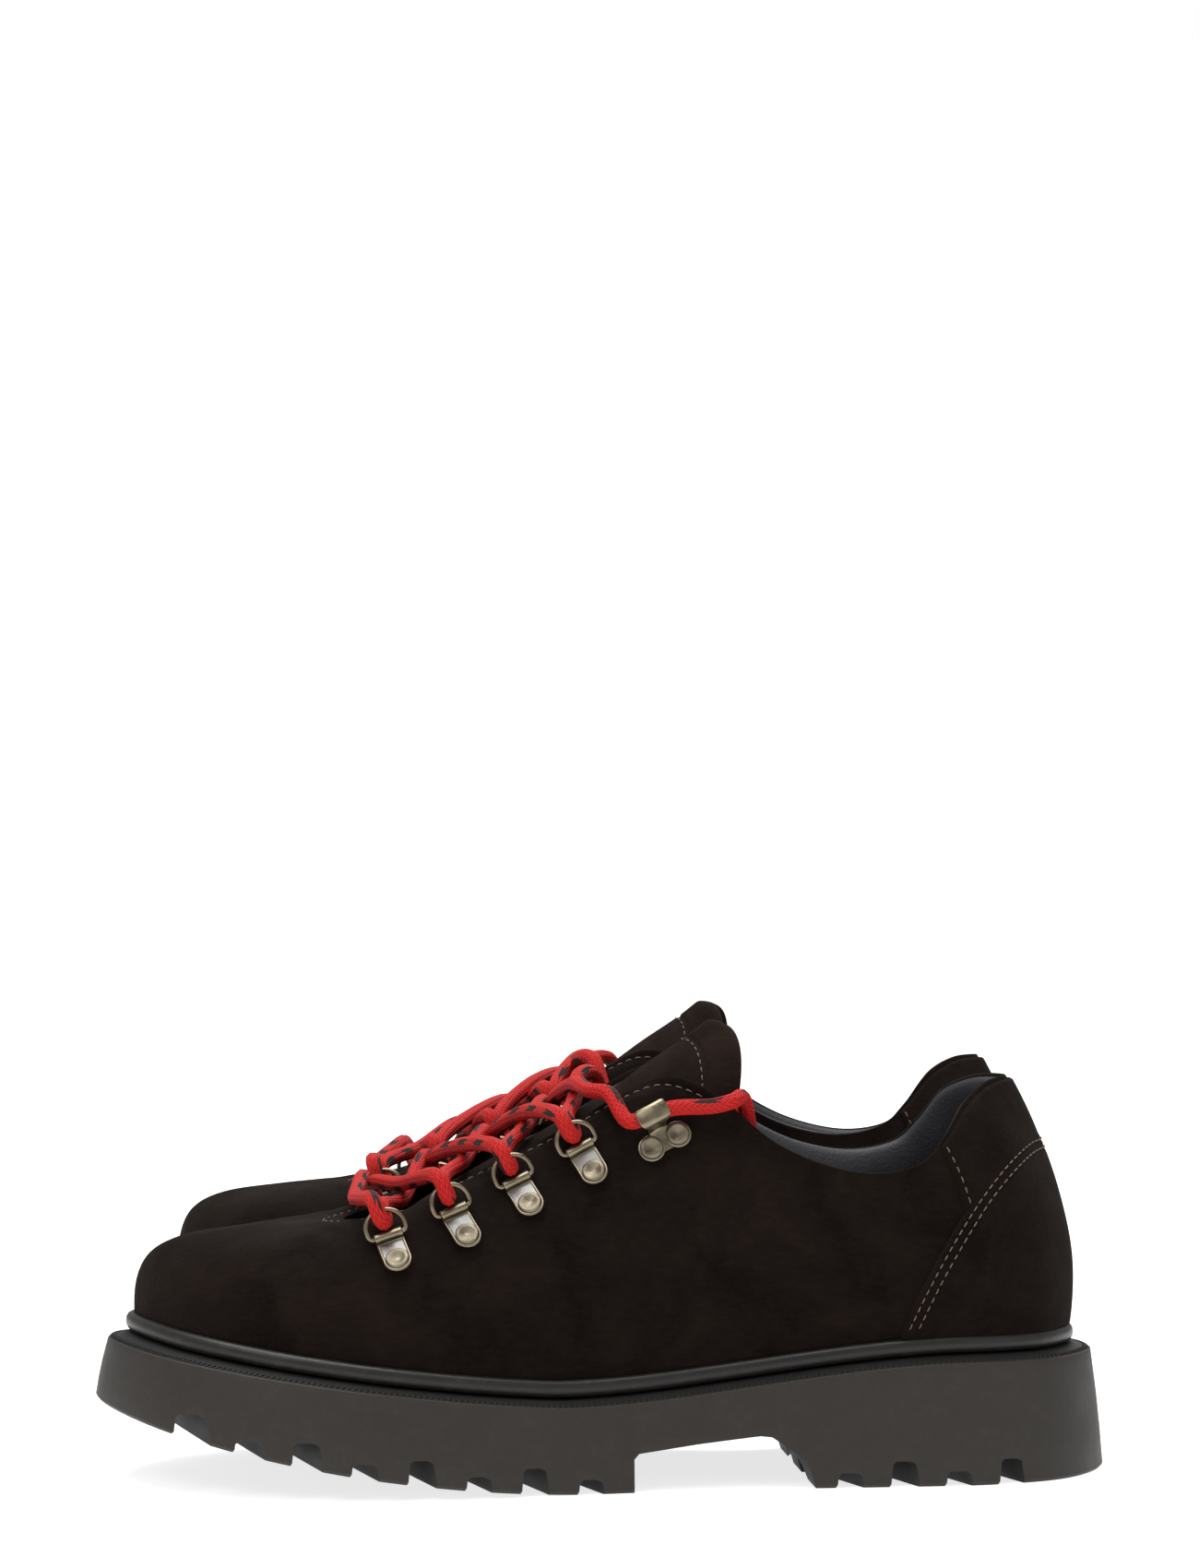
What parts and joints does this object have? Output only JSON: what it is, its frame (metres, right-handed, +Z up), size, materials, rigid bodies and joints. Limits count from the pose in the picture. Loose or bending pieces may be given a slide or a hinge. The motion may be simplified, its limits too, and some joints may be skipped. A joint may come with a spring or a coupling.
{
  "type": "hiking boots",
  "caption": "Pair of low suede hiking boots with lugged rubber soles, laced through swinging D-rings and speed hooks.",
  "frame": {"origin": "on the ground under the middle of the pair", "axes": "+X from toes to heels, +Y from the left boot to the right boot, +Z up"},
  "size_m": [0.3068, 0.262, 0.1383],
  "materials": {
    "suede": "napped suede, very dark brown",
    "rubber_sole": "matt moulded rubber, brown-grey",
    "welt_rubber": "soft satin rubber",
    "lining_leather": "smooth blue-grey lining leather",
    "fibreboard": "pressed fibre board",
    "shank_steel": "spring steel strip",
    "antique_brass": "antique plated brass",
    "braided_lace": "round red braid with black flecks"
  },
  "bodies": {
    "left_boot": {"left_outsole": "rubber_sole", "left_welt_band": "welt_rubber", "left_insole_board": "fibreboard", "left_shank": "shank_steel", "left_footbed": "lining_leather", "left_upper": "suede", "left_heel_counter_panel": "suede", "left_heel_collar": "suede", "left_tongue": "suede", "left_lining": "lining_leather", "left_lace": "braided_lace", "left_ring_clip_lateral_1": "antique_brass", "left_ring_clip_lateral_2": "antique_brass", "left_ring_clip_lateral_3": "antique_brass", "left_ring_clip_lateral_4": "antique_brass", "left_lace_hook_lateral": "antique_brass", "left_ring_clip_medial_1": "antique_brass", "left_ring_clip_medial_2": "antique_brass", "left_ring_clip_medial_3": "antique_brass", "left_ring_clip_medial_4": "antique_brass", "left_lace_hook_medial": "antique_brass"},
    "left_d_ring_lateral_1": {"left_d_ring_lateral_1": "antique_brass"},
    "left_d_ring_lateral_2": {"left_d_ring_lateral_2": "antique_brass"},
    "left_d_ring_lateral_3": {"left_d_ring_lateral_3": "antique_brass"},
    "left_d_ring_lateral_4": {"left_d_ring_lateral_4": "antique_brass"},
    "left_d_ring_medial_1": {"left_d_ring_medial_1": "antique_brass"},
    "left_d_ring_medial_2": {"left_d_ring_medial_2": "antique_brass"},
    "left_d_ring_medial_3": {"left_d_ring_medial_3": "antique_brass"},
    "left_d_ring_medial_4": {"left_d_ring_medial_4": "antique_brass"},
    "left_tongue_cap": {"left_tongue_cap": "suede"},
    "right_boot": {"right_outsole": "rubber_sole", "right_welt_band": "welt_rubber", "right_insole_board": "fibreboard", "right_shank": "shank_steel", "right_footbed": "lining_leather", "right_upper": "suede", "right_heel_counter_panel": "suede", "right_heel_collar": "suede", "right_tongue": "suede", "right_lining": "lining_leather", "right_lace": "braided_lace", "right_ring_clip_lateral_1": "antique_brass", "right_ring_clip_lateral_2": "antique_brass", "right_ring_clip_lateral_3": "antique_brass", "right_ring_clip_lateral_4": "antique_brass", "right_lace_hook_lateral": "antique_brass", "right_ring_clip_medial_1": "antique_brass", "right_ring_clip_medial_2": "antique_brass", "right_ring_clip_medial_3": "antique_brass", "right_ring_clip_medial_4": "antique_brass", "right_lace_hook_medial": "antique_brass"},
    "right_d_ring_lateral_1": {"right_d_ring_lateral_1": "antique_brass"},
    "right_d_ring_lateral_2": {"right_d_ring_lateral_2": "antique_brass"},
    "right_d_ring_lateral_3": {"right_d_ring_lateral_3": "antique_brass"},
    "right_d_ring_lateral_4": {"right_d_ring_lateral_4": "antique_brass"},
    "right_d_ring_medial_1": {"right_d_ring_medial_1": "antique_brass"},
    "right_d_ring_medial_2": {"right_d_ring_medial_2": "antique_brass"},
    "right_d_ring_medial_3": {"right_d_ring_medial_3": "antique_brass"},
    "right_d_ring_medial_4": {"right_d_ring_medial_4": "antique_brass"},
    "right_tongue_cap": {"right_tongue_cap": "suede"}
  },
  "joints": [
    {"name": "left_ring_lateral_1_swing", "type": "hinge", "parent": "left_boot", "child": "left_d_ring_lateral_1", "pos_m": [-0.06331, -0.11064, 0.07569], "axis": [0.9388, 0.1408, 0.3143], "range_deg": [-20, 60], "deforming": ["left_lace"]},
    {"name": "left_ring_lateral_2_swing", "type": "hinge", "parent": "left_boot", "child": "left_d_ring_lateral_2", "pos_m": [-0.04418, -0.10592, 0.08258], "axis": [0.8809, 0.3052, 0.3619], "range_deg": [-20, 60], "deforming": ["left_lace"]},
    {"name": "left_ring_lateral_3_swing", "type": "hinge", "parent": "left_boot", "child": "left_d_ring_lateral_3", "pos_m": [-0.02573, -0.0998, 0.09097], "axis": [0.8833, 0.2009, 0.4236], "range_deg": [-20, 60], "deforming": ["left_lace"]},
    {"name": "left_ring_lateral_4_swing", "type": "hinge", "parent": "left_boot", "child": "left_d_ring_lateral_4", "pos_m": [-0.00682, -0.09709, 0.10051], "axis": [0.8719, 0.1211, 0.4745], "range_deg": [-20, 60], "deforming": ["left_lace"]},
    {"name": "left_ring_medial_1_swing", "type": "hinge", "parent": "left_boot", "child": "left_d_ring_medial_1", "pos_m": [-0.07036, -0.02889, 0.07553], "axis": [-0.9495, 0.0019, -0.3138], "range_deg": [-20, 60], "deforming": ["left_lace"]},
    {"name": "left_ring_medial_2_swing", "type": "hinge", "parent": "left_boot", "child": "left_d_ring_medial_2", "pos_m": [-0.05063, -0.03081, 0.08242], "axis": [-0.9185, 0.1617, -0.3608], "range_deg": [-20, 60], "deforming": ["left_lace"]},
    {"name": "left_ring_medial_3_swing", "type": "hinge", "parent": "left_boot", "child": "left_d_ring_medial_3", "pos_m": [-0.03139, -0.03393, 0.09085], "axis": [-0.9044, 0.0596, -0.4226], "range_deg": [-20, 60], "deforming": ["left_lace"]},
    {"name": "left_ring_medial_4_swing", "type": "hinge", "parent": "left_boot", "child": "left_d_ring_medial_4", "pos_m": [-0.01223, -0.03363, 0.10033], "axis": [-0.8807, -0.0132, -0.4735], "range_deg": [-20, 60], "deforming": ["left_lace"]},
    {"name": "left_tongue_cap_fold", "type": "hinge", "parent": "left_boot", "child": "left_tongue_cap", "pos_m": [0.02524, -0.06171, 0.13201], "axis": [0.0872, -0.9962, 0], "range_deg": [0, 25], "stiffness_Nm_per_rad": 0.05},
    {"name": "right_ring_lateral_1_swing", "type": "hinge", "parent": "right_boot", "child": "right_d_ring_lateral_1", "pos_m": [-0.06331, 0.11064, 0.07569], "axis": [-0.9388, 0.1408, -0.3143], "range_deg": [-20, 60], "deforming": ["right_lace"]},
    {"name": "right_ring_lateral_2_swing", "type": "hinge", "parent": "right_boot", "child": "right_d_ring_lateral_2", "pos_m": [-0.04418, 0.10592, 0.08258], "axis": [-0.8809, 0.3052, -0.3619], "range_deg": [-20, 60], "deforming": ["right_lace"]},
    {"name": "right_ring_lateral_3_swing", "type": "hinge", "parent": "right_boot", "child": "right_d_ring_lateral_3", "pos_m": [-0.02573, 0.0998, 0.09097], "axis": [-0.8833, 0.2009, -0.4236], "range_deg": [-20, 60], "deforming": ["right_lace"]},
    {"name": "right_ring_lateral_4_swing", "type": "hinge", "parent": "right_boot", "child": "right_d_ring_lateral_4", "pos_m": [-0.00682, 0.09709, 0.10051], "axis": [-0.8719, 0.1211, -0.4745], "range_deg": [-20, 60], "deforming": ["right_lace"]},
    {"name": "right_ring_medial_1_swing", "type": "hinge", "parent": "right_boot", "child": "right_d_ring_medial_1", "pos_m": [-0.07036, 0.02889, 0.07553], "axis": [0.9495, 0.0019, 0.3138], "range_deg": [-20, 60], "deforming": ["right_lace"]},
    {"name": "right_ring_medial_2_swing", "type": "hinge", "parent": "right_boot", "child": "right_d_ring_medial_2", "pos_m": [-0.05063, 0.03081, 0.08242], "axis": [0.9185, 0.1617, 0.3608], "range_deg": [-20, 60], "deforming": ["right_lace"]},
    {"name": "right_ring_medial_3_swing", "type": "hinge", "parent": "right_boot", "child": "right_d_ring_medial_3", "pos_m": [-0.03139, 0.03393, 0.09085], "axis": [0.9044, 0.0596, 0.4226], "range_deg": [-20, 60], "deforming": ["right_lace"]},
    {"name": "right_ring_medial_4_swing", "type": "hinge", "parent": "right_boot", "child": "right_d_ring_medial_4", "pos_m": [-0.01223, 0.03363, 0.10033], "axis": [0.8807, -0.0132, 0.4735], "range_deg": [-20, 60], "deforming": ["right_lace"]},
    {"name": "right_tongue_cap_fold", "type": "hinge", "parent": "right_boot", "child": "right_tongue_cap", "pos_m": [0.02524, 0.06171, 0.13201], "axis": [-0.0872, -0.9962, 0], "range_deg": [0, 25], "stiffness_Nm_per_rad": 0.05},
    {"name": "right_boot_lift", "type": "slide", "parent": "left_boot", "child": "right_boot", "axis": [0, 0, 1], "range_m": [0, 0.15]}
  ]
}
